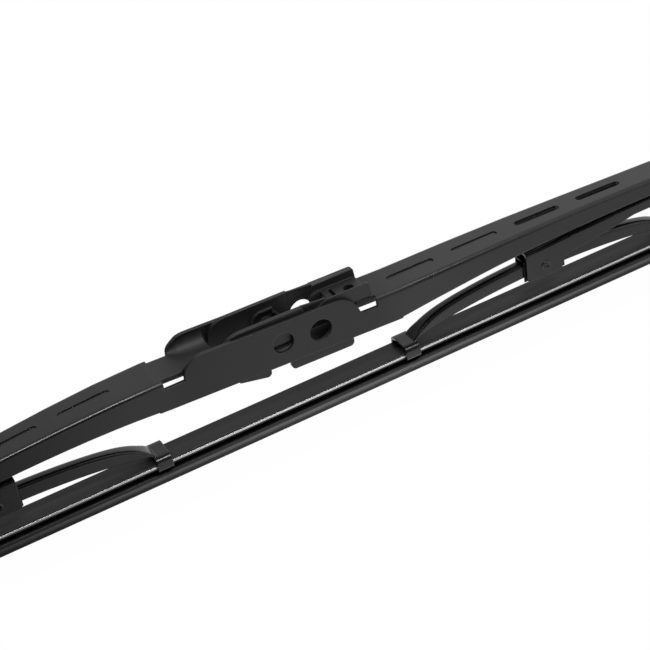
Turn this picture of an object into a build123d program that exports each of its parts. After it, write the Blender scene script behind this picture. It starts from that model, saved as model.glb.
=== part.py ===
"""Bracket-type wiper blade: main bridge, secondary bridges, yokes, rubber with spring rails, and arm clip.

Millimetres. X runs along the blade, Y across it, Z up from the glass.
The origin is the pivot of the arm clip, at the middle of the blade.
"""
import os
from math import cos, radians, sin

from build123d import *

# Lengths along the blade
yoke_pivot_reach = 83.0
claw_reach = 45.0
claw_length = 4.4
tip_overhang = 11.0
rail_setback = 2.0
main_pivot_x = 2 * yoke_pivot_reach
blade_length = 2 * (main_pivot_x + yoke_pivot_reach + claw_reach + tip_overhang)

# Heights, measured from the arm clip's pivot
rubber_back_z = -22.5
yoke_pivot_z = -14.4
main_pivot_z = -8.1

# Sheet and running gaps
main_sheet = 1.0
secondary_sheet = 0.9
yoke_sheet = 0.7
claw_sheet = 0.75
running_gap = 0.3
liner_gap = 0.08
shaft_gap = 0.05

# Rubber strip, half section
back_half = 3.4
back_thickness = 0.6
core_half = 1.3
collar_half = 2.3
collar_height = 1.6
neck_half = 0.75
neck_height = 1.2
shoulder_half = 3.0
shoulder_height = 1.0
wedge_height = 2.9
wedge_foot_half = 0.8
lip_half = 0.35
lip_height = 1.7

# Spring rails
rail_thickness = 0.65
rail_inner = 1.35
rail_outer = 3.5

# Main bridge
bridge_half = 6.2
bridge_end_half = 4.8
taper_end = 118.0
bend_radius = 1.2
bridge_lug_radius = 5.0
middle_half = 36.0
left_crown_z = 3.7
left_fall_end = 130.0
left_fall = 6.0
right_crown_z = 1.1
right_fall_start = 60.0
right_fall_end = 230.0
right_fall = 4.75
cheek_left_x = -37.0
cheek_right_x = 35.5
cheek_left_foot_z = -5.15
cheek_right_foot_z = -8.45
cheek_step = 0.4
wall_height_end = 4.9
cheek_top_left = (-22.0, 7.25)
cheek_ramp = ((-27.8, 4.6), (-26.0, 6.2))
cheek_top_right = (16.0, 5.5)
cheek_ramp_x = -28.4
cheek_nose_x = 23.4
notch_left = (-34.3, 1.4)
notch_right = (28.3, -1.5)
tongue_half = 4.95
tongue_neck_half = 4.4
window_left_x = -17.5
window_right_x = 22.9
drawn_corner = ((-28.3, 0.9), (-27.0, 1.9), (-25.5, 2.9), (-22.5, 3.5), (-17.8, 3.6))
pivot_hole_radius = 3.0
pin_hole_radius = 3.25
pin_x = 11.0
pin_z = -1.0
pill_length = 14.6
pill_width = 2.1
pill_depth = 0.35
pill_pitch = 20.4
right_pill_start = 42.2
left_pill_start = -54.0

# Secondary bridges
secondary_half = 3.1
secondary_crown_z = -5.9
secondary_end_z = -8.2
secondary_bend = 1.0
secondary_arm_foot_z = -10.4
secondary_haunch_z = -12.2
plate_inner = 6.2
plate_length = 12.4
plate_foot_z = -17.7
plate_corner = 0.9

# Yokes
yoke_half = 1.7
yoke_crown_z = -12.0
yoke_crown_radius = 124.5
yoke_foot_z = -16.15
yoke_foot_radius = 360.0
yoke_arm_reach = 30.0
yoke_bend = 0.5
claw_gap = 1.1
claw_side_gap = 0.15
claw_bend = 2.0
toe_bend = 0.9
toe_gap = 0.15
toe_depth = 1.2
toe_thickness = 0.75

# Rivets and liners
main_rivet_radius = 1.6
main_rivet_head = 2.6
yoke_rivet_radius = 1.2
yoke_rivet_head = 1.6
rivet_dome = 0.35
rivet_dimple = 1.1
rivet_dimple_depth = 0.5
liner_length = 12.0
liner_overhang = 0.5
liner_crown = 0.5
liner_skirt = 3.4

# Arm clip
clip_wall = 1.1
clip_left_x = -16.0
clip_right_x = 27.2
clip_saddle_left = 8.2
clip_saddle_right = 10.3
clip_saddle_z = 4.6
clip_lip_left = 14.2
clip_top_z = 7.7
clip_lip_z = 6.7
clip_deck_z = 3.9
clip_deck_thickness = 1.2
clip_deck_left = 12.9
clip_deck_bar = 16.4
clip_deck_rail = 3.0
clip_corner = 1.2
clip_toe_x = 20.6
clip_skirt_z = -10.5
clip_toe_z = -11.1
clip_lip_foot_z = 2.0
clip_wedge_z = -9.8
clip_relief_z = -5.8
clip_relief_left = -4.2
clip_relief_right = 1.8
clip_axle_radius = 2.5
stub_face = 5.9
stub_recess = 0.9
stub_chamfer = 0.25
stub_slot = 0.75
stub_slot_z = -1.5
stub_slot_depth = 1.5
clip_bore_radius = 4.4
clip_floor_z = -7.9
deck_hole_radius = 1.5
deck_hole_x = 23.4
deck_slot = (18.7, 1.05, 5.0)
hook_rib_width = 0.6
hook_rib_depth = 0.6

os.makedirs("parts", exist_ok=True)

claw_under_z = rubber_back_z + claw_gap
claw_top_z = claw_under_z + claw_sheet
claw_inner = rail_outer + claw_side_gap
claw_outer = claw_inner + claw_sheet
rail_top_z = rubber_back_z - back_thickness
rail_foot_z = rail_top_z - rail_thickness
toe_top_z = rail_foot_z - toe_gap
toe_foot_z = toe_top_z - toe_thickness
bridge_end_x = main_pivot_x + bridge_lug_radius


def smooth(value, start, finish):
    """0 before start, 1 after finish, with no corner between them."""
    share = min(max((value - start) / (finish - start), 0.0), 1.0)
    return share * share * (3 - 2 * share)


def half_width(x):
    """Half of the main bridge's width: full at the cheeks, narrower towards both ends."""
    return bridge_half - (bridge_half - bridge_end_half) * smooth(abs(x), middle_half, taper_end)


def web_height(x):
    """Top of the main bridge: a slope between the cheeks, then an arch that falls to each end."""
    if x <= -middle_half:
        return left_crown_z - left_fall * smooth(-x, middle_half, left_fall_end)
    if x >= middle_half:
        return right_crown_z - right_fall * smooth(x, right_fall_start, right_fall_end)
    return left_crown_z + (right_crown_z - left_crown_z) * (x + middle_half) / (2 * middle_half)


def channel_section(x, inset, radius):
    """Inverted U's outside, or its inside when inset by the sheet, as one closed face at station x."""
    half = half_width(x) - inset
    top = web_height(x) - inset
    deep = main_pivot_z - 2 * bridge_lug_radius
    with BuildSketch(Plane.YZ.offset(x)) as section:
        with BuildLine():
            FilletPolyline((-half, deep), (-half, top), (half, top), (half, deep), radius=radius)
            Line((half, deep), (-half, deep))
        make_face()
    return section.sketch


left_step_x = (left_fall_end - middle_half) / 7
left_arm = [-middle_half - index * left_step_x for index in range(8)] + [-bridge_end_x - 1]
right_step_x = (bridge_end_x + 1 - middle_half) / 7
right_arm = [middle_half + index * right_step_x for index in range(8)]

# Side outline of the main bridge's walls, with the lugs that hold the main rivets
with BuildSketch(Plane.XZ) as bridge_side:
    with BuildLine():
        head = bridge_half * 2
        Polyline((-bridge_end_x, main_pivot_z), (-bridge_end_x, head), (bridge_end_x, head), (bridge_end_x, main_pivot_z))
        lug_out = radians(-55)
        lug_in = radians(-125)
        lug = bridge_lug_radius
        right_lug = (main_pivot_x + lug * cos(lug_in), main_pivot_z + lug * sin(lug_in))
        left_lug = (-right_lug[0], right_lug[1])
        lug_mid = (lug * cos(lug_out), main_pivot_z + lug * sin(lug_out))
        ThreePointArc((bridge_end_x, main_pivot_z), (main_pivot_x + lug_mid[0], lug_mid[1]), right_lug)
        ThreePointArc((-bridge_end_x, main_pivot_z), (-main_pivot_x - lug_mid[0], lug_mid[1]), left_lug)
        right_step = (cheek_right_x, cheek_right_foot_z + cheek_step)
        left_step = (cheek_left_x, cheek_left_foot_z + cheek_step)
        Spline(
            right_lug,
            (main_pivot_x - 20, web_height(main_pivot_x - 20) - wall_height_end - 0.9),
            (taper_end, web_height(taper_end) - wall_height_end),
            (2 * cheek_right_x, web_height(2 * cheek_right_x) - wall_height_end - 1.4),
            right_step,
        )
        Polyline(
            right_step,
            (cheek_right_x - cheek_step, cheek_right_foot_z),
            (cheek_left_x + cheek_step, cheek_left_foot_z),
            left_step,
        )
        Spline(
            left_step,
            (1.5 * cheek_left_x, web_height(1.5 * cheek_left_x) - wall_height_end - 2.2),
            (-80.0, web_height(-80.0) - wall_height_end - 1.1),
            (-taper_end, web_height(-taper_end) - wall_height_end),
            (20 - main_pivot_x, web_height(20 - main_pivot_x) - wall_height_end - 0.9),
            left_lug,
        )
    make_face()

# Side outline of a cheek, between its relief notches
with BuildSketch(Plane.XZ) as cheek_side:
    with BuildLine():
        foot_slope = (cheek_right_foot_z - cheek_left_foot_z) / (cheek_right_x - cheek_left_x)
        foot_left = cheek_left_foot_z + foot_slope * (notch_left[0] - cheek_left_x)
        foot_right = cheek_left_foot_z + foot_slope * (notch_right[0] - cheek_left_x)
        ramp_foot = (cheek_ramp_x, notch_left[1])
        nose = (cheek_nose_x, notch_right[1])
        Polyline(ramp_foot, notch_left, (notch_left[0], foot_left), (notch_right[0], foot_right), notch_right, nose)
        Spline(ramp_foot, *cheek_ramp, cheek_top_left, tangents=((0.12, 1), (1, 0)))
        Line(cheek_top_left, cheek_top_right)
        Spline(cheek_top_right, nose, tangents=((1, -0.04), (0.25, -1)))
    make_face()

# The back is drawn up into both cheeks with a wide hollow corner: station and radius
drawn_corners = []
for face in (-1, 1):
    sections = []
    for x, radius in drawn_corner:
        with BuildSketch(Plane.YZ.offset(x)) as section:
            with BuildLine():
                wall, back = bridge_half - main_sheet, web_height(x)
                bend = radius * cos(radians(45))
                foot = (face * (wall - radius), back - 0.02)
                head = (face * (wall + 0.05), back + radius)
                ThreePointArc(foot, (face * (wall - radius + bend), back + radius - bend), head)
                Polyline(head, (head[0], back - 0.4), (foot[0], back - 0.4), foot)
            make_face()
        sections.append(section.sketch)
    drawn_corners.append(sections)

with BuildPart() as main_bridge:
    for inset, mode in ((0, Mode.ADD), (main_sheet, Mode.SUBTRACT)):
        radius = bend_radius - inset
        for arm in (left_arm, right_arm):
            loft([channel_section(x, inset, radius) for x in arm], ruled=True, mode=mode)
        loft([channel_section(x, inset, radius) for x in (-middle_half, middle_half)], ruled=True, mode=mode)
    extrude(bridge_side.sketch, amount=2 * bridge_half, both=True, mode=Mode.INTERSECT)
    # The fold is cut away beside both cheeks, and the back between them
    with BuildSketch(Plane.XZ):
        with BuildLine():
            Polyline(
                notch_left,
                (notch_left[0], 2 * bridge_half),
                (notch_right[0], 2 * bridge_half),
                notch_right,
                close=True,
            )
        make_face()
    fold_cut = extrude(amount=2 * bridge_half, both=True, mode=Mode.PRIVATE)
    tongue_reach = notch_right[0] - notch_left[0]
    with Locations(((notch_left[0] + notch_right[0]) / 2, 0, 0)):
        neck = Box(tongue_reach, 2 * tongue_neck_half, 6 * bridge_half, mode=Mode.PRIVATE)
    with Locations(((cheek_ramp_x + window_left_x) / 2, 0, 0)):
        tongue = Box(window_left_x - cheek_ramp_x, 2 * tongue_half, 6 * bridge_half, mode=Mode.PRIVATE)
    add(fold_cut - neck - tongue, mode=Mode.SUBTRACT)
    with Locations(((window_left_x + window_right_x) / 2, 0, 0)):
        Box(window_right_x - window_left_x, 2 * (bridge_half - main_sheet), 6 * bridge_half, mode=Mode.SUBTRACT)
    # Two flat cheeks in the planes of the walls
    for side in (Plane.XZ.offset(bridge_half - main_sheet), Plane.XZ.offset(-bridge_half)):
        with BuildSketch(side):
            add(cheek_side.sketch)
        extrude(amount=main_sheet)
    for sections in drawn_corners:
        loft(sections, ruled=True)
    with Locations(Plane.XZ):
        with Locations((0, 0)):
            Cylinder(pivot_hole_radius, 4 * bridge_half, mode=Mode.SUBTRACT)
        with Locations((pin_x, pin_z)):
            Cylinder(pin_hole_radius, 4 * bridge_half, mode=Mode.SUBTRACT)
        with Locations((-main_pivot_x, main_pivot_z), (main_pivot_x, main_pivot_z)):
            Cylinder(main_rivet_radius + shaft_gap, 4 * bridge_half, mode=Mode.SUBTRACT)
    # Pressed pills along the back: the inner two shallow, the outer two cut through
    for start, step in ((right_pill_start, pill_pitch), (left_pill_start, -pill_pitch)):
        for index in range(4):
            x = start + index * step
            depth = pill_depth if index < 2 else 2 * main_sheet
            half_pill = pill_length / 2
            rise = (web_height(x + half_pill) - web_height(x - half_pill)) / pill_length
            back = Plane((x, 0, web_height(x)), x_dir=(1, 0, rise), z_dir=(-rise, 0, 1))
            with BuildSketch(back.offset(main_sheet)):
                SlotOverall(pill_length, pill_width)
            extrude(amount=-(main_sheet + depth), mode=Mode.SUBTRACT)
main_bridge.part.label = "main_bridge"
export_step(main_bridge.part, "parts/main_bridge.step")

# Secondary bridges: an arched channel with a deep plate at each end
secondary_end = yoke_pivot_reach + plate_inner
plate_outer = secondary_end - plate_length
for side, name in ((-1, "left"), (1, "right")):
    with BuildPart() as secondary_bridge:
        with BuildSketch(Plane.XZ):
            with BuildLine():
                arch = ThreePointArc(
                    (-secondary_end, secondary_end_z), (0, secondary_crown_z), (secondary_end, secondary_end_z)
                )
                for end in (-1, 1):
                    haunch = (end * (plate_outer - 14), secondary_haunch_z)
                    neck = (end * (plate_outer - 1), secondary_haunch_z - 1.4)
                    Polyline(
                        (end * secondary_end, secondary_end_z),
                        (end * secondary_end, plate_foot_z),
                        (end * (plate_outer + 1), plate_foot_z),
                        (end * plate_outer, plate_foot_z + 3),
                        neck,
                    )
                    Spline(neck, haunch, (end * (plate_outer - 24), secondary_arm_foot_z))
                Line((24 - plate_outer, secondary_arm_foot_z), (plate_outer - 24, secondary_arm_foot_z))
            make_face()
        extrude(amount=secondary_half, both=True)
        fillet(secondary_bridge.edges().filter_by(GeomType.CIRCLE), radius=secondary_bend)
        corners = secondary_bridge.edges().filter_by(Axis.Y).group_by(Axis.Z)[0]
        fillet(corners, radius=plate_corner)
        with BuildSketch(Plane.XZ):
            with BuildLine():
                inner_arch = ThreePointArc(
                    (-secondary_end, secondary_end_z - secondary_sheet),
                    (0, secondary_crown_z - secondary_sheet),
                    (secondary_end, secondary_end_z - secondary_sheet),
                )
                deep = plate_foot_z - secondary_half
                Polyline(inner_arch @ 0, (-secondary_end, deep), (secondary_end, deep), inner_arch @ 1)
            make_face()
        extrude(amount=secondary_half - secondary_sheet, both=True, mode=Mode.SUBTRACT)
        with Locations(Plane.XZ):
            with Locations((0, main_pivot_z)):
                Cylinder(main_rivet_radius + shaft_gap, 4 * secondary_half, mode=Mode.SUBTRACT)
            with Locations((-yoke_pivot_reach, yoke_pivot_z), (yoke_pivot_reach, yoke_pivot_z)):
                Cylinder(yoke_rivet_radius + shaft_gap, 4 * secondary_half, mode=Mode.SUBTRACT)
    secondary_bridge.part.locate(Location((side * main_pivot_x, 0, 0)))
    secondary_bridge.part.label = f"secondary_bridge_{name}"
    export_step(secondary_bridge.part, f"parts/secondary_bridge_{name}.step")

# Yokes: a narrow channel that flattens into a claw at each end
yoke_places = {
    "left_outer": -3 * yoke_pivot_reach,
    "left_inner": -yoke_pivot_reach,
    "right_inner": yoke_pivot_reach,
    "right_outer": 3 * yoke_pivot_reach,
}
claw_start = claw_reach - claw_length / 2


def yoke_crown(reach):
    """Top of a yoke's arm, an arc about its pivot."""
    return yoke_crown_z - reach * reach / (2 * yoke_crown_radius)


def yoke_foot(reach):
    """Lower edge of a yoke's arm, a flatter arc, so that the arm gets slimmer outwards."""
    return yoke_foot_z - reach * reach / (2 * yoke_foot_radius)


# Stations where an arm widens and steps down into its claw: reach, half width, top, foot
flare = (
    (yoke_arm_reach - 0.5, yoke_half - 0.05, yoke_crown(yoke_arm_reach - 0.5) - 0.05, yoke_foot(yoke_arm_reach)),
    (claw_start - 6.3, yoke_half + 0.2, yoke_crown(claw_start - 6.3), yoke_foot(claw_start - 6.3) - 1.2),
    (claw_start - 2, yoke_half + 0.8, yoke_crown(claw_start - 2) + 0.1, claw_under_z + 0.4),
    (claw_start + 0.8, yoke_half + 1.5, claw_top_z - 0.08, claw_under_z + 0.08),
)

flares = []
for end in (-1, 1):
    sections = []
    for reach, half, top, foot in flare:
        with BuildSketch(Plane.YZ.offset(end * reach)) as section:
            with BuildLine():
                FilletPolyline((-half, foot), (-half, top), (half, top), (half, foot), radius=yoke_bend)
                Line((half, foot), (-half, foot))
            make_face()
        sections.append(section.sketch)
    flares.append(sections)

for name, place in yoke_places.items():
    with BuildPart() as yoke:
        with BuildSketch(Plane.XZ):
            with BuildLine():
                reach = yoke_arm_reach
                crown = ThreePointArc((-reach, yoke_crown(reach)), (0, yoke_crown_z), (reach, yoke_crown(reach)))
                sole = ThreePointArc((-reach, yoke_foot(reach)), (0, yoke_foot_z), (reach, yoke_foot(reach)))
                Line(crown @ 0, sole @ 0)
                Line(crown @ 1, sole @ 1)
            make_face()
        extrude(amount=yoke_half, both=True)
        arcs = yoke.edges().filter_by(GeomType.CIRCLE)
        fillet(arcs.filter_by(lambda edge: edge.center().Z > yoke_foot_z + yoke_sheet), radius=yoke_bend)
        with BuildSketch(Plane.XZ):
            with BuildLine():
                reach = yoke_arm_reach - 2
                roof = yoke_crown(reach) - yoke_sheet
                hollow = ThreePointArc((-reach, roof), (0, yoke_crown_z - yoke_sheet), (reach, roof))
                Polyline(hollow @ 0, (-reach, claw_under_z), (reach, claw_under_z), hollow @ 1)
            make_face()
        extrude(amount=yoke_half - yoke_sheet, both=True, mode=Mode.SUBTRACT)
        for sections in flares:
            loft(sections, ruled=True)
        for end in (-1, 1):
            with BuildSketch(Plane.YZ.offset(end * claw_reach - claw_length / 2)) as claw_section:
                with BuildLine():
                    toe_in = claw_inner - toe_depth
                    Polyline(
                        (toe_in, toe_foot_z), (claw_outer, toe_foot_z), (claw_outer, claw_top_z),
                        (-claw_outer, claw_top_z), (-claw_outer, toe_foot_z), (-toe_in, toe_foot_z),
                        (-toe_in, toe_top_z), (-claw_inner, toe_top_z), (-claw_inner, claw_under_z),
                        (claw_inner, claw_under_z), (claw_inner, toe_top_z), (toe_in, toe_top_z),
                        close=True,
                    )
                make_face()
                outside = claw_section.vertices().filter_by(lambda v: abs(v.X) > claw_inner + claw_sheet / 2)
                fillet(outside.group_by(Axis.Y)[0], radius=toe_bend)
                fillet(claw_section.vertices().group_by(Axis.Y)[-1], radius=claw_bend)
                under = claw_section.vertices().filter_by(lambda v: abs(v.Y - claw_under_z) < claw_side_gap)
                fillet(under, radius=claw_bend - claw_sheet)
            extrude(amount=claw_length)
        with Locations(Plane.XZ):
            with Locations((0, yoke_pivot_z)):
                Cylinder(yoke_rivet_radius + shaft_gap, 4 * yoke_half, mode=Mode.SUBTRACT)
    yoke.part.locate(Location((place, 0, 0)))
    yoke.part.label = f"yoke_{name}"
    export_step(yoke.part, f"parts/yoke_{name}.step")

    # The liner is a plastic saddle between this yoke and its plate
    with BuildPart() as yoke_liner:
        outer = secondary_half - secondary_sheet - liner_gap
        inner = yoke_half + liner_gap
        top = yoke_crown_z + 2 * liner_crown
        with BuildSketch(Plane.YZ):
            with Locations((0, (top + yoke_pivot_z - liner_skirt) / 2)):
                Rectangle(2 * outer, top - yoke_pivot_z + liner_skirt)
            with Locations((0, (top - liner_crown + yoke_pivot_z - liner_skirt) / 2)):
                Rectangle(2 * inner, top - liner_crown - yoke_pivot_z + liner_skirt, mode=Mode.SUBTRACT)
        extrude(amount=plate_inner + liner_overhang, both=True)
        with Locations(Plane.XZ):
            with Locations((0, yoke_pivot_z)):
                Cylinder(yoke_rivet_radius + shaft_gap, 4 * yoke_half, mode=Mode.SUBTRACT)
    yoke_liner.part.locate(Location((place, 0, 0)))
    yoke_liner.part.label = f"yoke_liner_{name}"
    export_step(yoke_liner.part, f"parts/yoke_liner_{name}.step")

    # The rivet has a low head with a dimple on each side
    with BuildPart() as yoke_rivet:
        with Locations(Plane.XZ):
            with Locations((0, yoke_pivot_z)):
                Cylinder(yoke_rivet_radius, 2 * secondary_half)
        for face in (-1, 1):
            with Locations(Plane.XZ.offset(face * (secondary_half + rivet_dome / 2))):
                with Locations((0, yoke_pivot_z)):
                    Cylinder(yoke_rivet_head, rivet_dome)
            head = Plane((0, face * (secondary_half + rivet_dome), yoke_pivot_z), z_dir=(0, face, 0))
            with BuildSketch(head):
                Circle(rivet_dimple)
            extrude(amount=-rivet_dimple_depth, taper=40, mode=Mode.SUBTRACT)
    yoke_rivet.part.locate(Location((place, 0, 0)))
    yoke_rivet.part.label = f"yoke_rivet_{name}"
    export_step(yoke_rivet.part, f"parts/yoke_rivet_{name}.step")

# Main rivets and liners, where the secondary bridges turn in the main bridge
for side, name in ((-1, "left"), (1, "right")):
    with BuildPart() as main_liner:
        outer = bridge_end_half - main_sheet - liner_gap
        inner = secondary_half + liner_gap
        top = secondary_crown_z + 2.2 * liner_crown
        with BuildSketch(Plane.YZ):
            with Locations((0, (top + main_pivot_z - liner_skirt) / 2)):
                Rectangle(2 * outer, top - main_pivot_z + liner_skirt)
            with Locations((0, (top - liner_crown + main_pivot_z - liner_skirt) / 2)):
                Rectangle(2 * inner, top - liner_crown - main_pivot_z + liner_skirt, mode=Mode.SUBTRACT)
        extrude(amount=liner_length / 2, both=True)
        with Locations(Plane.XZ):
            with Locations((0, main_pivot_z)):
                Cylinder(main_rivet_radius + shaft_gap, 4 * bridge_half, mode=Mode.SUBTRACT)
    main_liner.part.locate(Location((side * main_pivot_x, 0, 0)))
    main_liner.part.label = f"main_liner_{name}"
    export_step(main_liner.part, f"parts/main_liner_{name}.step")

    with BuildPart() as main_rivet:
        with Locations(Plane.XZ):
            with Locations((0, main_pivot_z)):
                Cylinder(main_rivet_radius, 2 * bridge_end_half)
        for face in (-1, 1):
            with Locations(Plane.XZ.offset(face * (bridge_end_half + rivet_dome / 2))):
                with Locations((0, main_pivot_z)):
                    Cylinder(main_rivet_head, rivet_dome)
    main_rivet.part.locate(Location((side * main_pivot_x, 0, 0)))
    main_rivet.part.label = f"main_rivet_{name}"
    export_step(main_rivet.part, f"parts/main_rivet_{name}.step")

# Squeegee rubber: one extruded strip with a groove each side for the rails
collar_foot_z = rail_foot_z - collar_height
shoulder_z = collar_foot_z - neck_height
wedge_top_z = shoulder_z - shoulder_height
wedge_foot_z = wedge_top_z - wedge_height
rubber_half = [
    (back_half, rubber_back_z), (back_half, rail_top_z), (core_half, rail_top_z), (core_half, rail_foot_z),
    (collar_half, rail_foot_z), (collar_half, collar_foot_z), (neck_half, collar_foot_z), (neck_half, shoulder_z),
    (shoulder_half, shoulder_z), (shoulder_half, wedge_top_z), (wedge_foot_half, wedge_foot_z),
    (lip_half, wedge_foot_z - 0.6), (lip_half, wedge_foot_z - lip_height),
]
with BuildPart() as squeegee_rubber:
    with BuildSketch(Plane.YZ):
        with BuildLine():
            Polyline(*rubber_half, *[(-y, z) for y, z in reversed(rubber_half)], close=True)
        make_face()
    extrude(amount=blade_length / 2, both=True)
squeegee_rubber.part.label = "squeegee_rubber"
export_step(squeegee_rubber.part, "parts/squeegee_rubber.step")

# Spring rails in the rubber's grooves
for side, name in ((-1, "near"), (1, "far")):
    with BuildPart() as rail:
        with Locations((0, side * (rail_inner + rail_outer) / 2, (rail_top_z + rail_foot_z) / 2)):
            Box(blade_length - 2 * rail_setback, rail_outer - rail_inner, rail_thickness)
    rail.part.label = f"rail_{name}"
    export_step(rail.part, f"parts/rail_{name}.step")

# Arm clip: two walls joined by an axle, a deck and a floor
clip_outer = bridge_half - main_sheet - running_gap
clip_inner = clip_outer - clip_wall
rounded = (
    (clip_right_x, clip_lip_z - 0.3),
    (clip_toe_x, clip_toe_z),
    (clip_relief_right, clip_skirt_z),
    (clip_relief_left, clip_wedge_z),
)
with BuildPart() as arm_clip:
    with BuildSketch(Plane.XZ.offset(clip_inner)) as wall_side:
        with BuildLine():
            Polyline(
                (clip_left_x + 5, clip_top_z),
                (clip_saddle_left - 1, clip_top_z - 0.35),
                (clip_saddle_left, clip_saddle_z),
                (clip_saddle_right, clip_saddle_z),
                (clip_lip_left, clip_lip_z),
                rounded[0],
                (clip_right_x + 0.4, clip_lip_foot_z),
                (clip_toe_x, clip_lip_foot_z),
                rounded[1],
                rounded[2],
                (clip_relief_right, clip_relief_z),
                (clip_relief_left, clip_relief_z),
                rounded[3],
                (clip_left_x + 2.7, clip_wedge_z + 2.1),
                (clip_left_x + 0.6, clip_wedge_z + 4.6),
            )
            Spline(
                (clip_left_x + 0.6, clip_wedge_z + 4.6),
                (clip_left_x, clip_top_z - 2.4),
                (clip_left_x + 5, clip_top_z),
                tangents=((-0.2, 1), (1, 0)),
            )
        make_face()
        corners = wall_side.vertices().filter_by(
            lambda v: any(abs(v.X - x) + abs(v.Y - z) < 0.01 for x, z in rounded)
        )
        fillet(corners, radius=clip_corner)
    extrude(amount=clip_wall)
    # A curved rib inside each wall guides the arm's hook on to the axle
    with BuildSketch(Plane.XZ.offset(clip_inner - hook_rib_depth)):
        with BuildLine():
            Polyline((-4.5, 2.1), (-3.7, 3.5), (-2.8, 4.3), (-1.7, 4.8), (2.4, 4.8))
        trace(line_width=hook_rib_width)
        with BuildLine():
            Polyline((2.3, 3.7), (3.3, 2.3), (3.8, 1.6))
        trace(line_width=hook_rib_width)
    extrude(amount=hook_rib_depth + clip_wall / 2)
    # Clearance round the arm's side pin
    with Locations(Plane.XZ):
        with Locations((pin_x, pin_z)):
            Cylinder(clip_bore_radius, 4 * bridge_half, mode=Mode.SUBTRACT)
    mirror(about=Plane.XZ)
    # The lips lean in at the top, and the deck between them bends down at its open end
    with BuildSketch(Plane.XZ):
        with BuildLine():
            top, sheet, left = clip_deck_z, clip_deck_thickness, clip_deck_left
            Polyline(
                (left, top - 1.3), (left + 0.7, top - 0.6), (left + 1.7, top - 0.15), (left + 2.9, top),
                (clip_right_x, top - 0.3), (clip_right_x, top - 0.3 - sheet), (left + 2.9, top - sheet),
                (left + 1.6, top - 1.5), (left + 0.9, top - 2.3), close=True,
            )
        make_face()
    extrude(amount=clip_outer, both=True)
    with Locations((clip_deck_bar - clip_corner * 2, 0, clip_deck_z)):
        Box(clip_corner * 4, 2 * clip_deck_rail, 6 * clip_deck_thickness, mode=Mode.SUBTRACT)
    with BuildSketch(Plane.YZ.offset(clip_lip_left - 1)):
        for face in (-1, 1):
            with BuildLine():
                Polyline(
                    (face * (clip_outer - 0.15), clip_lip_z + 0.1), (face * (clip_inner - 0.1), clip_lip_z + 0.1),
                    (face * (clip_inner - 0.1), clip_lip_z - 0.9), close=True,
                )
            make_face()
    extrude(amount=clip_right_x, mode=Mode.SUBTRACT)
    with Locations(((clip_relief_right + clip_toe_x) / 2, 0, clip_floor_z)):
        Box(clip_toe_x - clip_relief_right, 2 * clip_outer, clip_wall)
    with Locations(Plane.XZ):
        Cylinder(clip_axle_radius, 2 * clip_outer)
    # Split pivot stubs: the part above the slot stands back from the cheek's face
    for face in (-1, 1):
        with BuildSketch(Plane((0, face * clip_outer, 0), z_dir=(0, face, 0))):
            Circle(pivot_hole_radius - shaft_gap)
        extrude(amount=stub_face - clip_outer)
        rims = arm_clip.edges().filter_by(GeomType.CIRCLE).sort_by(Axis.Y)
        chamfer(rims[-1] if face > 0 else rims[0], length=stub_chamfer)
        with Locations((0, face * stub_face, stub_slot_z)):
            Box(2 * pivot_hole_radius, 2 * stub_slot_depth, stub_slot, mode=Mode.SUBTRACT)
        with Locations((0, face * stub_face, stub_slot_z + pivot_hole_radius)):
            Box(2 * pivot_hole_radius, 2 * stub_recess, 2 * pivot_hole_radius, mode=Mode.SUBTRACT)
    with Locations((deck_hole_x, 0, clip_deck_z)):
        Cylinder(deck_hole_radius, 4 * clip_deck_thickness, mode=Mode.SUBTRACT)
    with Locations((deck_slot[0], 0, clip_deck_z)):
        Box(deck_slot[1], deck_slot[2], 4 * clip_deck_thickness, mode=Mode.SUBTRACT)
arm_clip.part.label = "arm_clip"
export_step(arm_clip.part, "parts/arm_clip.step")
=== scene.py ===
import math

import bpy
import numpy as np
from mathutils import Matrix, Vector


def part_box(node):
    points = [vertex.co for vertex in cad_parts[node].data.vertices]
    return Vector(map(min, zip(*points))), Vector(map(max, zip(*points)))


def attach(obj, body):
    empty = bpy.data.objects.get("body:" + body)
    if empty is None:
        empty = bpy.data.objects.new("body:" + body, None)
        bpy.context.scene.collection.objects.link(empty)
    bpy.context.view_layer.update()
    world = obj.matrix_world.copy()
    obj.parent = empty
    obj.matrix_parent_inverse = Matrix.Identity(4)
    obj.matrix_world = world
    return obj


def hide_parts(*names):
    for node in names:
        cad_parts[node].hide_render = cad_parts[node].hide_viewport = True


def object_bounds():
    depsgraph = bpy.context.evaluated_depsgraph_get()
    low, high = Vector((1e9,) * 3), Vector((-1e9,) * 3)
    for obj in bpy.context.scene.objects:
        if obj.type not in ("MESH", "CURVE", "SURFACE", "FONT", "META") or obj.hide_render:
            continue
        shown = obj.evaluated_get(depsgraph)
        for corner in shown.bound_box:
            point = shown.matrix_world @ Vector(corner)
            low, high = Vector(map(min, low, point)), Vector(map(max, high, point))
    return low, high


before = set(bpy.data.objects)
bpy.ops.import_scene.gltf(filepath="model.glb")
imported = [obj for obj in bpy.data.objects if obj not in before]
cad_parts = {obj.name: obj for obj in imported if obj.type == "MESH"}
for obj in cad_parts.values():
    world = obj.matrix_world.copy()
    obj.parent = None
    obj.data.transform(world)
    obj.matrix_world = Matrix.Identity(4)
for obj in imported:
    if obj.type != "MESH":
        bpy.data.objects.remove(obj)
cad_box = [list(corner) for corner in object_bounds()]

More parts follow.
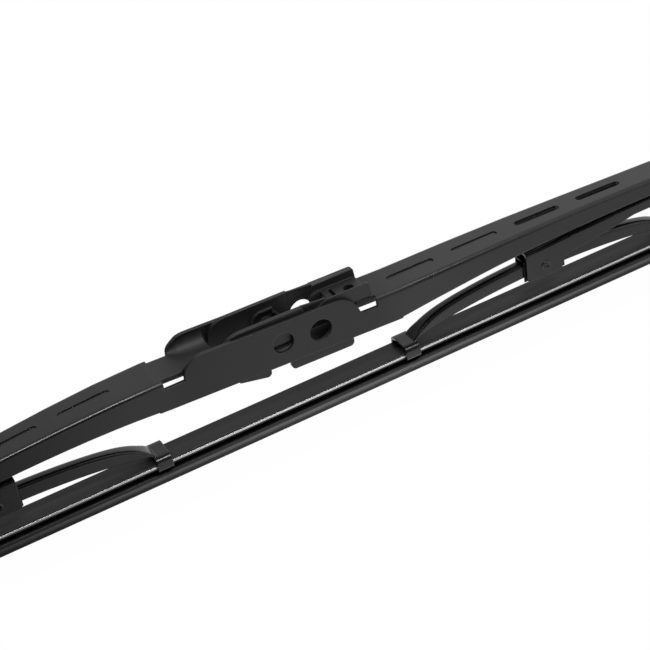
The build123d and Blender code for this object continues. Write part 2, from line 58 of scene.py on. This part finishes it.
# The studio: a white table whose mirror image in the paint is brightest near the middle, a sky that is
# stronger from behind and from the right, a strip lamp and a side lamp. The camera looks down from the
# front left.
scene = bpy.context.scene
scene.view_settings.view_transform = "Standard"
camera_place = Vector((-0.1462, -0.3762, 0.2929))
camera_turn = (23.196, 36.035, -9.402)
yaw, pitch, roll = (math.radians(angle) for angle in camera_turn)
look = Vector((math.sin(yaw) * math.cos(pitch), math.cos(yaw) * math.cos(pitch), -math.sin(pitch)))
level = Vector((math.cos(yaw), -math.sin(yaw), 0))
upright = level.cross(look)
right = math.cos(roll) * level + math.sin(roll) * upright
up = -math.sin(roll) * level + math.cos(roll) * upright
camera_data = bpy.data.cameras.new("studio_camera")
camera_data.lens = 105.2
camera_data.sensor_width = 36
camera = bpy.data.objects.new("studio_camera", camera_data)
camera.matrix_world = Matrix((
    (right.x, up.x, -look.x, camera_place.x),
    (right.y, up.y, -look.y, camera_place.y),
    (right.z, up.z, -look.z, camera_place.z),
    (0, 0, 0, 1),
))
scene.collection.objects.link(camera)
scene.camera = camera


def math_node(tree, operation, first, second=None, clamp=False):
    """One Math node whose inputs are sockets or numbers; gives its output socket."""
    node = tree.nodes.new("ShaderNodeMath")
    node.operation = operation
    node.use_clamp = clamp
    for socket, value in zip(node.inputs, (first, second)):
        if isinstance(value, (int, float)):
            socket.default_value = value
        elif value is not None:
            tree.links.new(value, socket)
    return node.outputs[0]


def spread(tree, value, low, high, start=0.3, finish=0.7):
    """A value between start and finish, such as noise, brought to the range from low to high."""
    node = tree.nodes.new("ShaderNodeMapRange")
    node.inputs["From Min"].default_value = start
    node.inputs["From Max"].default_value = finish
    node.inputs["To Min"].default_value = low
    node.inputs["To Max"].default_value = high
    tree.links.new(value, node.inputs["Value"])
    return node.outputs["Result"]


def ramp_up(tree, value, start, finish, low=0.0):
    """A share that rises smoothly from low at start to 1 at finish."""
    node = tree.nodes.new("ShaderNodeMapRange")
    node.interpolation_type = "SMOOTHSTEP"
    node.inputs["From Min"].default_value = start
    node.inputs["From Max"].default_value = finish
    node.inputs["To Min"].default_value = low
    tree.links.new(value, node.inputs["Value"])
    return node.outputs["Result"]


world = bpy.data.worlds.new("studio_world")
world.use_nodes = True
scene.world = world
sky = world.node_tree
backdrop = sky.nodes["Background"]
backdrop.inputs["Color"].default_value = (1, 1, 1, 1)
outlook = sky.nodes.new("ShaderNodeTexCoord")
toward_light, above_front = sky.nodes.new("ShaderNodeVectorMath"), sky.nodes.new("ShaderNodeVectorMath")
for agreement, direction in ((toward_light, (0.7, 0.15, 0.0)), (above_front, (0.0, 0.6, 1.0))):
    agreement.operation = "DOT_PRODUCT"
    agreement.inputs[1].default_value = direction
    sky.links.new(outlook.outputs["Generated"], agreement.inputs[0])
even_sky, front_edge, dark_front = 0.6, 0.6, 0.01
sky_level = math_node(sky, "ADD", toward_light.outputs["Value"], even_sky, clamp=True)
front_shade = ramp_up(sky, above_front.outputs["Value"], 0, front_edge, low=dark_front)
shaded_sky = math_node(sky, "MULTIPLY", sky_level, front_shade)
sky_path = sky.nodes.new("ShaderNodeLightPath")
seen_sky = math_node(sky, "MAXIMUM", shaded_sky, sky_path.outputs["Is Camera Ray"])
sky.links.new(seen_sky, backdrop.inputs["Strength"])

for name, place, target, length, width, power in (
    ("strip_lamp", (0.09, -0.42, 0.95), (0.09, 0, 0), 0.66, 0.12, 8.0),
    ("side_lamp", (0.9, -0.8, 0.45), (0, 0, 0), 0.7, 0.7, 2.0),
):
    lamp_data = bpy.data.lights.new(name, "AREA")
    lamp_data.shape = "RECTANGLE"
    lamp_data.size = length
    lamp_data.size_y = width
    lamp_data.energy = power
    lamp = bpy.data.objects.new(name, lamp_data)
    lamp.location = place
    lamp.rotation_euler = (Vector(target) - Vector(place)).to_track_quat("-Z", "Y").to_euler()
    scene.collection.objects.link(lamp)

table_drop, table_half = 0.016, 4.0
table_z = cad_box[0][2] - table_drop
table_corners = [(x * table_half, y * table_half, table_z) for x, y in ((-1, -1), (1, -1), (1, 1), (-1, 1))]
table_mesh = bpy.data.meshes.new("white_table")
table_mesh.from_pydata(table_corners, [], [(0, 1, 2, 3)])
table = bpy.data.objects.new("white_table", table_mesh)
scene.collection.objects.link(table)
table_paper = bpy.data.materials.new("table_paper")
table_paper.use_nodes = True
paper = table_paper.node_tree
paper.nodes.clear()
matt_white = paper.nodes.new("ShaderNodeBsdfDiffuse")
matt_white.inputs["Color"].default_value = (0.88, 0.88, 0.88, 1)
paper_glow = paper.nodes.new("ShaderNodeEmission")
glow_share = 0.985
light_path = paper.nodes.new("ShaderNodeLightPath")
seen = math_node(paper, "MAXIMUM", light_path.outputs["Is Camera Ray"], light_path.outputs["Is Glossy Ray"])
seen_share = math_node(paper, "MULTIPLY", seen, glow_share)
table_place = paper.nodes.new("ShaderNodeTexCoord")
table_axes = paper.nodes.new("ShaderNodeSeparateXYZ")
paper.links.new(table_place.outputs["Object"], table_axes.inputs[0])
left_rise = spread(paper, table_axes.outputs["X"], 0.05, 1.3, start=-0.108, finish=0.012)
right_fall = spread(paper, table_axes.outputs["X"], 1.0, 0.62, start=0.042, finish=0.117)
mirrored_glow = math_node(paper, "MULTIPLY", left_rise, right_fall)
glow_level = paper.nodes.new("ShaderNodeMix")
glow_level.inputs["B"].default_value = 1
paper.links.new(mirrored_glow, glow_level.inputs["A"])
paper.links.new(light_path.outputs["Is Camera Ray"], glow_level.inputs["Factor"])
paper.links.new(glow_level.outputs["Result"], paper_glow.inputs["Strength"])
paper_mix = paper.nodes.new("ShaderNodeMixShader")
paper.links.new(seen_share, paper_mix.inputs[0])
paper.links.new(matt_white.outputs[0], paper_mix.inputs[1])
paper.links.new(paper_glow.outputs[0], paper_mix.inputs[2])
under_side = paper.nodes.new("ShaderNodeNewGeometry")
see_through = paper.nodes.new("ShaderNodeBsdfTransparent")
one_way = paper.nodes.new("ShaderNodeMixShader")
paper.links.new(under_side.outputs["Backfacing"], one_way.inputs[0])
paper.links.new(paper_mix.outputs[0], one_way.inputs[1])
paper.links.new(see_through.outputs[0], one_way.inputs[2])
paper_out = paper.nodes.new("ShaderNodeOutputMaterial")
paper.links.new(one_way.outputs[0], paper_out.inputs[0])
table_mesh.materials.append(table_paper)


# The main bridge: one strip of 1 mm steel, blanked, folded into a channel and dipped in satin black
# paint. The paint lies a little uneven; its folds and cut edges are tinted lighter, partly wear, partly
# painted highlight.
def shader_group(name, inputs, outputs):
    """An empty shader node group with the named sockets; each is a (kind, name, default) row."""
    group = bpy.data.node_groups.new(name, "ShaderNodeTree")
    for kind, label, default in inputs:
        socket = group.interface.new_socket(label, in_out="INPUT", socket_type=f"NodeSocket{kind}")
        if default is not None:
            socket.default_value = default
    for kind, label in outputs:
        group.interface.new_socket(label, in_out="OUTPUT", socket_type=f"NodeSocket{kind}")
    return group, group.nodes.new("NodeGroupInput"), group.nodes.new("NodeGroupOutput")


# Rounded edge: compares the surface's normal with one smoothed over a small radius, so that a
# cut or folded edge catches the light, and puts out how near the edge is.
edge_group, edge_in, edge_out = shader_group(
    "rounded_edge", [("Float", "Radius", 0.0003)], [("Float", "Edge"), ("Vector", "Normal")]
)
soft_normal = edge_group.nodes.new("ShaderNodeBevel")
soft_normal.samples = 16
edge_group.links.new(edge_in.outputs["Radius"], soft_normal.inputs["Radius"])
surface = edge_group.nodes.new("ShaderNodeNewGeometry")
agreement = edge_group.nodes.new("ShaderNodeVectorMath")
agreement.operation = "DOT_PRODUCT"
edge_group.links.new(soft_normal.outputs[0], agreement.inputs[0])
edge_group.links.new(surface.outputs["Normal"], agreement.inputs[1])
edge_gain = 4.0
turn = math_node(edge_group, "SUBTRACT", 1.0, agreement.outputs["Value"])
nearness = math_node(edge_group, "MULTIPLY", turn, edge_gain, clamp=True)
edge_group.links.new(nearness, edge_out.inputs["Edge"])
edge_group.links.new(soft_normal.outputs[0], edge_out.inputs["Normal"])

# Streaked noise: cloudy variation drawn out along the blade, or even in all directions where
# both scales are alike.
streak_group, streak_in, streak_out = shader_group(
    "drawn_out_noise",
    [
        ("Vector", "Vector", None), ("Float", "Along", 10.0), ("Float", "Across", 10.0),
        ("Float", "Detail", 3.0),
    ],
    [("Float", "Value")],
)
apart = streak_group.nodes.new("ShaderNodeSeparateXYZ")
together = streak_group.nodes.new("ShaderNodeCombineXYZ")
streak_group.links.new(streak_in.outputs["Vector"], apart.inputs[0])
for axis, scale in (("X", "Along"), ("Y", "Across"), ("Z", "Across")):
    stretched = math_node(streak_group, "MULTIPLY", apart.outputs[axis], streak_in.outputs[scale])
    streak_group.links.new(stretched, together.inputs[axis])
cloud = streak_group.nodes.new("ShaderNodeTexNoise")
cloud.inputs["Scale"].default_value = 1
streak_group.links.new(together.outputs[0], cloud.inputs["Vector"])
streak_group.links.new(streak_in.outputs["Detail"], cloud.inputs["Detail"])
streak_group.links.new(cloud.outputs["Fac"], streak_out.inputs["Value"])


def streaks(tree, along, across, detail=3.0):
    """The drawn-out noise on Object coordinates, with its scales in waves a metre."""
    place = tree.nodes.new("ShaderNodeTexCoord")
    noise = tree.nodes.new("ShaderNodeGroup")
    noise.node_tree = streak_group
    noise.inputs["Along"].default_value = along
    noise.inputs["Across"].default_value = across
    noise.inputs["Detail"].default_value = detail
    tree.links.new(place.outputs["Object"], noise.inputs["Vector"])
    return noise.outputs["Value"]


def tinted(tree, share, dark, pale):
    """A colour between dark and pale, by a share from 0 to 1."""
    ramp = tree.nodes.new("ShaderNodeMix")
    ramp.data_type = "RGBA"
    ramp.inputs["A"].default_value = (*dark, 1)
    ramp.inputs["B"].default_value = (*pale, 1)
    tree.links.new(share, ramp.inputs["Factor"])
    return ramp


def worked_surface(name, dark, pale, edge_wear_highlight_tone, edge_radius, rough, grain, relief, clouds, gloss=0.5):
    """A finish with cloudy tone, fine relief and edges that catch the light.

    The tone runs from dark to pale by drawn-out noise (clouds: along, across), the edges are tinted towards
    the lighter edge tone, partly wear and partly a painted highlight, the roughness runs over rough, and a
    second noise (grain: along, across) lifts the surface by relief.
    """
    material = bpy.data.materials.new(name)
    material.use_nodes = True
    tree = material.node_tree
    shader = tree.nodes["Principled BSDF"]
    edge = tree.nodes.new("ShaderNodeGroup")
    edge.name = "edge"
    edge.node_tree = edge_group
    edge.inputs["Radius"].default_value = edge_radius
    tone = streaks(tree, *clouds)
    fine = streaks(tree, *grain, detail=2.0)
    body = tinted(tree, spread(tree, tone, 0, 1), dark, pale)
    # Edges are tinted lighter towards the edge tone, speckled by the fine noise: partly wear, partly a
    # painted highlight.
    wear_and_highlight = math_node(tree, "MULTIPLY", edge.outputs["Edge"], spread(tree, fine, 0.35, 1))
    worn_and_highlit = tinted(tree, wear_and_highlight, dark, edge_wear_highlight_tone)
    tree.links.new(body.outputs["Result"], worn_and_highlit.inputs["A"])
    tree.links.new(worn_and_highlit.outputs["Result"], shader.inputs["Base Color"])
    shader.inputs["Specular IOR Level"].default_value = gloss
    cloud_part = math_node(tree, "MULTIPLY", tone, 0.6)
    grain_part = math_node(tree, "MULTIPLY", fine, 0.4)
    mixed = math_node(tree, "ADD", cloud_part, grain_part)
    tree.links.new(spread(tree, mixed, *rough), shader.inputs["Roughness"])
    bump = tree.nodes.new("ShaderNodeBump")
    bump.inputs["Distance"].default_value = relief
    tree.links.new(fine, bump.inputs["Height"])
    tree.links.new(edge.outputs["Normal"], bump.inputs["Normal"])
    tree.links.new(bump.outputs[0], shader.inputs["Normal"])
    return material


def dress(material, *names):
    """Gives CAD nodes this finish."""
    for name in names:
        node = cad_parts[name]
        node.data.materials.clear()
        node.data.materials.append(material)


def satin_black(name):
    """The dipped black paint of all the folded steel."""
    return worked_surface(
        name, dark=(0.005, 0.005, 0.0052), pale=(0.009, 0.009, 0.0093), edge_wear_highlight_tone=(0.03, 0.03, 0.031),
        edge_radius=0.0004, rough=(0.2, 0.26), grain=(1500, 1900), relief=0.00001, clouds=(14, 60),
        gloss=0.41,
    )


satin_paint = satin_black("satin_black_paint")
bridge_paint = satin_black("satin_black_bridge_paint")
paint_tree = bridge_paint.node_tree
paint_shader = paint_tree.nodes["Principled BSDF"]
paint_place = paint_tree.nodes.new("ShaderNodeTexCoord")
paint_axes = paint_tree.nodes.new("ShaderNodeSeparateXYZ")
paint_tree.links.new(paint_place.outputs["Object"], paint_axes.inputs[0])
from_middle = math_node(paint_tree, "ABSOLUTE", paint_axes.outputs["X"])
from_centre_line = math_node(paint_tree, "ABSOLUTE", paint_axes.outputs["Y"])
# Towards the folds the edge radius grows: this rounds the normals there and also widens the lighter edge tint
# along the folds, a painted highlight.
web_edge, fold_start = 0.0018, 0.003
web_bevel, fold_bevel = 0.00004, 0.0005
near_folds = ramp_up(paint_tree, from_centre_line, web_edge, fold_start)
fold_radius = spread(paint_tree, near_folds, web_bevel, fold_bevel, start=0, finish=1)
paint_tree.links.new(fold_radius, paint_tree.nodes["edge"].inputs["Radius"])
bowl_start, bowl_end, cheek_matt = 0.024, 0.05, 0.34
beyond_bowls = ramp_up(paint_tree, from_middle, bowl_start, bowl_end)
matter_cheeks = spread(paint_tree, beyond_bowls, cheek_matt, 0, start=0, finish=1)
arm_rough = paint_shader.inputs["Roughness"].links[0].from_socket
bridge_rough = math_node(paint_tree, "ADD", arm_rough, matter_cheeks)
paint_tree.links.new(bridge_rough, paint_shader.inputs["Roughness"])
dress(bridge_paint, "main_bridge")

# The main rivets: black steel pins, upset over both walls of the main bridge, with a plastic saddle
# in the fold that keeps the painted levers apart.
rivet_black = worked_surface(
    "blackened_rivet_steel", dark=(0.007, 0.007, 0.007), pale=(0.014, 0.014, 0.0145),
    edge_wear_highlight_tone=(0.09, 0.09, 0.09), edge_radius=0.00025, rough=(0.24, 0.36), grain=(2500, 2500),
    relief=0.000012, clouds=(400, 400),
)
saddle_plastic = worked_surface(
    "slippery_saddle_plastic", dark=(0.003, 0.003, 0.0033), pale=(0.005, 0.005, 0.0053),
    edge_wear_highlight_tone=(0.008, 0.008, 0.0085), edge_radius=0.0002, rough=(0.3, 0.4), grain=(900, 900),
    relief=0.000004, clouds=(120, 120), gloss=0.15,
)
dress(rivet_black, "main_rivet_left", "main_rivet_right")
dress(saddle_plastic, "main_liner_left", "main_liner_right")

# The secondary bridges: narrower folded channels of the same painted strip, each with a deep plate at both
# ends, where a rivet with dimpled heads carries a yoke between the legs of a plastic saddle.
crease_angle = math.radians(50)


def skinned(name, *lofts):
    """A mesh of closed skins: each loft is rows of outlines along x, joined row to row, with flat ends."""
    points, faces, first = [], [], 0
    for loft in lofts:
        rows, count = loft.shape[:2]
        index = first + np.arange(rows * count).reshape(rows, count)
        beside = np.roll(index, -1, axis=1)
        sides = np.stack([index[:-1], index[1:], beside[1:], beside[:-1]], axis=-1).reshape(-1, 4)
        points.append(loft.reshape(-1, 3))
        faces += sides.tolist() + [index[0].tolist(), index[-1][::-1].tolist()]
        first += rows * count
    mesh = bpy.data.meshes.new(name)
    mesh.from_pydata(np.concatenate(points).tolist(), [], faces)
    mesh.polygons.foreach_set("use_smooth", np.ones(len(faces), bool))
    mesh.set_sharp_from_angle(angle=crease_angle)
    piece = bpy.data.objects.new(name, mesh)
    scene.collection.objects.link(piece)
    return piece


def turned(profile, centre, steps=40):
    """A profile of (radius, y) turned about the y axis through a centre (x, z), as rows for a skin."""
    angle = np.linspace(0, 2 * np.pi, steps, endpoint=False)
    radius, y = np.asarray(profile, float).T[:, :, None]
    x = centre[0] - radius * np.sin(angle)
    z = centre[1] + radius * np.cos(angle)
    return np.stack(np.broadcast_arrays(x, y, z), axis=2)


mm = 0.001
shank_radius, head_height = 1.2 * mm, 0.35 * mm
head_shares = np.array([1, 1, 0.95, 0.84, 0.74, 0.66, 0.55, 0.42, 0.25])
head_depths = np.array([0.35, 0.3, 0.18, 0.05, 0, 0.04, 0.22, 0.5, 0.62]) * mm
dimple_middle, dimple_depth = 0.02 * mm, 0.66 * mm
dress(satin_paint, "secondary_bridge_left", "secondary_bridge_right")
for place in ("left_outer", "left_inner", "right_inner", "right_outer"):
    dress(saddle_plastic, f"yoke_liner_{place}")
    rivet_low, rivet_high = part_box(f"yoke_rivet_{place}")
    rivet_centre = (rivet_low + rivet_high) / 2
    head_top, head_radius = rivet_high.y, rivet_high.x - rivet_centre.x
    shank = [(shank_radius, 0), (shank_radius, head_top - head_height)]
    head = np.stack([head_shares * head_radius, head_top - head_depths], axis=1).tolist()
    far_head = [*shank, *head, (dimple_middle, head_top - dimple_depth)]
    near_head = [(radius, -y) for radius, y in far_head[:0:-1]]
    rivet = skinned(f"dimpled_rivet_{place}", turned(near_head + far_head, (rivet_centre.x, rivet_centre.z)))
    rivet.data.materials.append(rivet_black)
    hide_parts(f"yoke_rivet_{place}")
    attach(rivet, f"secondary_{place.split('_')[0]}")

# The yokes: slim painted levers, pressed from strip into a channel with a round back. Each turns on a rivet,
# and both ends curl down into a claw that is bent round the rubber and its rails.
flat_share = 0.35


def rounded_outline(corners, radius, steps=5):
    """A closed outline with each corner eased by a quadratic Bezier curve that starts radius before it.

    Every eased corner gets one more point on each side, so that the flats between stay flat when shaded.
    """
    corners = np.asarray(corners, float)
    back = np.roll(corners, 1, axis=0) - corners
    ahead = np.roll(corners, -1, axis=0) - corners
    back /= np.linalg.norm(back, axis=1, keepdims=True)
    ahead /= np.linalg.norm(ahead, axis=1, keepdims=True)
    reach = np.asarray(radius, float).reshape(-1, 1)
    t = np.linspace(0, 1, steps)[None, :, None]
    start, finish = (corners + back * reach)[:, None], (corners + ahead * reach)[:, None]
    curve = (1 - t) ** 2 * start + 2 * t * (1 - t) * corners[:, None] + t ** 2 * finish
    run_in = start + flat_share * (start - corners[:, None])
    run_out = finish + flat_share * (finish - corners[:, None])
    return np.concatenate([run_in, curve, run_out], axis=1).reshape(-1, 2)


def carried(outlines, stations):
    """One closed (y, z) outline for every station, or one for all, set at its x: rows for a skin."""
    outlines = np.broadcast_to(outlines, (len(stations), *np.shape(outlines)[-2:]))
    x = np.broadcast_to(np.asarray(stations)[:, None, None], (*outlines.shape[:2], 1))
    return np.concatenate([x, outlines], axis=2)


def mirrored(half):
    """An outline from its right half, given from top to foot, with the left half added from foot to top."""
    half = np.asarray(half, float)
    return np.concatenate([half, half[::-1] * (-1, 1)])


yoke_reach, claw_reach, claw_length = 83 * mm, 45 * mm, 4.4 * mm
yoke_low, yoke_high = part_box("yoke_right_inner")
yoke_sheet, claw_sheet, toe_depth = 0.7 * mm, 0.75 * mm, 1.2 * mm
claw_gap = 1.1 * mm
claw_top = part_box("squeegee_rubber")[1].z + claw_gap + claw_sheet
claw_half = yoke_high.y
claw_inner, toe_end = claw_half - claw_sheet, claw_half - claw_sheet - toe_depth
claw_foot, toe_top = yoke_low.z, yoke_low.z + claw_sheet
arm_end = claw_reach - 1.4 * mm
arm_half, arm_flare, arm_depth = 1.7 * mm, 0.9 * mm, 4.4 * mm
back_arch, foot_arch = 2.25, 2.1
curl_power, flare_power = 9, 8
back_round, cut_round = 1.3 * mm, 0.08 * mm


def arm_crown(reach):
    """Height of the arm's back: a low arch, top - arch r^2, that curls down to the claw by a ninth power."""
    fall = yoke_high.z - claw_top - back_arch * arm_end ** 2
    return yoke_high.z - back_arch * reach ** 2 - fall * (reach / arm_end) ** curl_power


def arm_section(reach):
    """The channel's outline at a distance from the pivot: round back, straight sides, open foot."""
    crown = arm_crown(reach)
    foot = min(yoke_high.z - arm_depth - foot_arch * reach ** 2, crown - yoke_sheet - 0.1 * mm)
    half = arm_half + arm_flare * (reach / arm_end) ** flare_power
    round_back = min(back_round, 0.6 * (crown - foot))
    corners = mirrored([
        (half, crown), (half, foot), (half - yoke_sheet, foot), (half - yoke_sheet, crown - yoke_sheet),
    ])
    easing = np.array([round_back, cut_round, cut_round, 0.4 * round_back])
    return rounded_outline(corners, np.concatenate([easing, easing[::-1]]), steps=7)


claw_corners = mirrored([
    (claw_half, claw_top), (claw_half, claw_foot), (toe_end, claw_foot), (toe_end, toe_top),
    (claw_inner, toe_top), (claw_inner, claw_top - claw_sheet),
])
claw_easing = np.array([2.0, 0.9, 0.08, 0.08, 0.15, 1.25]) * mm
claw_outline = rounded_outline(claw_corners, np.concatenate([claw_easing, claw_easing[::-1]]), steps=8)
claw_rows = claw_length * np.linspace(-0.5, 0.5, 5)
arm_rows = np.linspace(-arm_end, arm_end, 121)
arm_outlines = np.array([arm_section(abs(reach)) for reach in arm_rows])
for place, pivot in (("left_outer", -3), ("left_inner", -1), ("right_inner", 1), ("right_outer", 3)):
    middle = pivot * yoke_reach
    arms = carried(arm_outlines, middle + arm_rows)
    claws = [carried(claw_outline, middle + end * claw_reach + claw_rows) for end in (-1, 1)]
    yoke = skinned(f"yoke_lever_{place}", arms, *claws)
    yoke.data.materials.append(satin_paint)
    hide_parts(f"yoke_{place}")
    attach(yoke, f"yoke_{place}")

# The squeegee: one extruded rubber strip with two spring steel rails pushed into its side grooves. It
# is made in stretches that ride on the levers that hold them. Where two meet, one has a thinner tongue
# tucked into the other, which fills the gap when they part.
rubber_low, rubber_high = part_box("squeegee_rubber")
rail_low, rail_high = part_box("rail_near")
back_z = rubber_high.z
groove_top, groove_foot = rail_high.z, rail_low.z
back_half, core_half, collar_half, neck_half = rubber_high.y, 1.3 * mm, 2.3 * mm, 0.75 * mm
shoulder_half, wedge_half, lip_half = 3.0 * mm, 0.8 * mm, 0.35 * mm
collar_foot = groove_foot - 1.6 * mm
shoulder_top = collar_foot - 1.2 * mm
shoulder_foot = shoulder_top - 1.0 * mm
wedge_foot = shoulder_foot - 2.9 * mm
lip_top = wedge_foot - 0.6 * mm
rubber_corners = mirrored([
    (back_half, back_z), (back_half, groove_top), (core_half, groove_top), (core_half, groove_foot),
    (collar_half, groove_foot), (collar_half, collar_foot), (neck_half, collar_foot),
    (neck_half, shoulder_top), (shoulder_half, shoulder_top), (shoulder_half, shoulder_foot),
    (wedge_half, wedge_foot), (lip_half, lip_top), (lip_half, rubber_low.z),
])
rubber_easing = np.array([0.2, 0.12, 0.1, 0.1, 0.15, 0.2, 0.25, 0.25, 0.3, 0.3, 0.25, 0.2, 0.08]) * mm
rubber_outline = rounded_outline(rubber_corners, np.concatenate([rubber_easing, rubber_easing[::-1]]))
rail_inner, rail_outer = 1.35 * mm, -rail_low.y
rail_easing = np.full(4, 0.12 * mm)
rail_corners = np.array([
    (rail_outer, groove_top), (rail_outer, groove_foot), (rail_inner, groove_foot), (rail_inner, groove_top),
])
far_rail_outline = rounded_outline(rail_corners, rail_easing, steps=4)
near_rail_outline = (far_rail_outline * (-1, 1))[::-1]

squeegee_rubber = worked_surface(
    "extruded_rubber", dark=(0.003, 0.003, 0.003), pale=(0.0115, 0.0113, 0.011),
    edge_wear_highlight_tone=(0.03, 0.0295, 0.029), edge_radius=0.00015, rough=(0.4, 0.58), grain=(160, 3800),
    relief=0.00003, clouds=(9, 1500), gloss=0.34,
)
rail_steel = worked_surface(
    "bright_rail_steel", dark=(0.49, 0.49, 0.495), pale=(0.59, 0.585, 0.58), edge_wear_highlight_tone=(0.59, 0.585, 0.58),
    edge_radius=0.0001, rough=(0.4, 0.48), grain=(60, 900), relief=0.000001, clouds=(25, 300),
)
rail_steel.node_tree.nodes["Principled BSDF"].inputs["Metallic"].default_value = 1

inner_claw, lever_pivot = yoke_reach - claw_reach, 2 * yoke_reach
rail_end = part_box("rail_near")[1].x
tongue_step, tongue_length, tongue_share = 0.05 * mm, 1.7 * mm, 0.985


def tucked(outline, x, tongues):
    """A stretch along x that goes on past its low or high end as a tongue, a little smaller in outline."""
    centre = outline.mean(axis=0)
    places, shares = [x], [np.ones(len(x))]
    if "low" in tongues:
        places.insert(0, x[0] - np.array([tongue_length, tongue_step]))
        shares.insert(0, np.full(2, tongue_share))
    if "high" in tongues:
        places.append(x[-1] + np.array([tongue_step, tongue_length]))
        shares.append(np.full(2, tongue_share))
    sizes = np.concatenate(shares)[:, None, None]
    return carried(centre + sizes * (outline - centre), np.concatenate(places))


row_pitch = 4 * mm
stretches = [
    ("left_outer", rubber_low.x, -lever_pivot, "yoke_left_outer", ("high",)),
    ("left_inner", -lever_pivot, -inner_claw, "yoke_left_inner", ()),
    ("middle", -inner_claw, inner_claw, "squeegee", ("low", "high")),
    ("right_inner", inner_claw, lever_pivot, "yoke_right_inner", ()),
    ("right_outer", lever_pivot, rubber_high.x, "yoke_right_outer", ("low",)),
]
for label, low, high, body, tongues in stretches:
    rows = round((high - low) / row_pitch) + 1
    rubber = skinned(f"rubber_{label}", tucked(rubber_outline, np.linspace(low, high, rows), tongues))
    rubber.data.materials.append(squeegee_rubber)
    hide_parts("squeegee_rubber")
    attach(rubber, body)
    along = np.linspace(max(low, -rail_end), min(high, rail_end), rows)
    rails = skinned(
        f"rails_{label}", tucked(far_rail_outline, along, tongues), tucked(near_rail_outline, along, tongues),
    )
    rails.data.materials.append(rail_steel)
    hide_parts("rail_near", "rail_far")
    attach(rails, body)

# The arm clip: one moulding of black plastic that snaps between the cheeks by two split stubs. Its skin is
# finely spark-eroded. Two small ribs stand on the inside of its walls.
clip_plastic = worked_surface(
    "moulded_clip_plastic", dark=(0.011, 0.0097, 0.0098), pale=(0.016, 0.0145, 0.0147),
    edge_wear_highlight_tone=(0.045, 0.043, 0.043), edge_radius=0.00035, rough=(0.36, 0.48), grain=(4200, 4200),
    relief=0.000018, clouds=(70, 70), gloss=0.3,
)
dress(clip_plastic, "arm_clip")
rib_inner, rib_outer, rib_foot = 3.75 * mm, 4.3 * mm, 4.3 * mm
rib_x = np.array([7.2, 8.0, 14.6]) * mm
rib_tops = np.array([7.5, 7.35, 6.7]) * mm
rib_easing = np.full(4, 0.12 * mm)
for side, sign in (("far", 1), ("near", -1)):
    sections = []
    for top in rib_tops:
        corners = np.array([(rib_outer, top), (rib_outer, rib_foot), (rib_inner, rib_foot), (rib_inner, top)])
        section = rounded_outline(corners, rib_easing, steps=4)
        sections.append(section if sign > 0 else (section * (-1, 1))[::-1])
    rib = skinned(f"clip_inner_rib_{side}", carried(np.array(sections), rib_x))
    rib.data.materials.append(clip_plastic)
    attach(rib, "arm_clip")
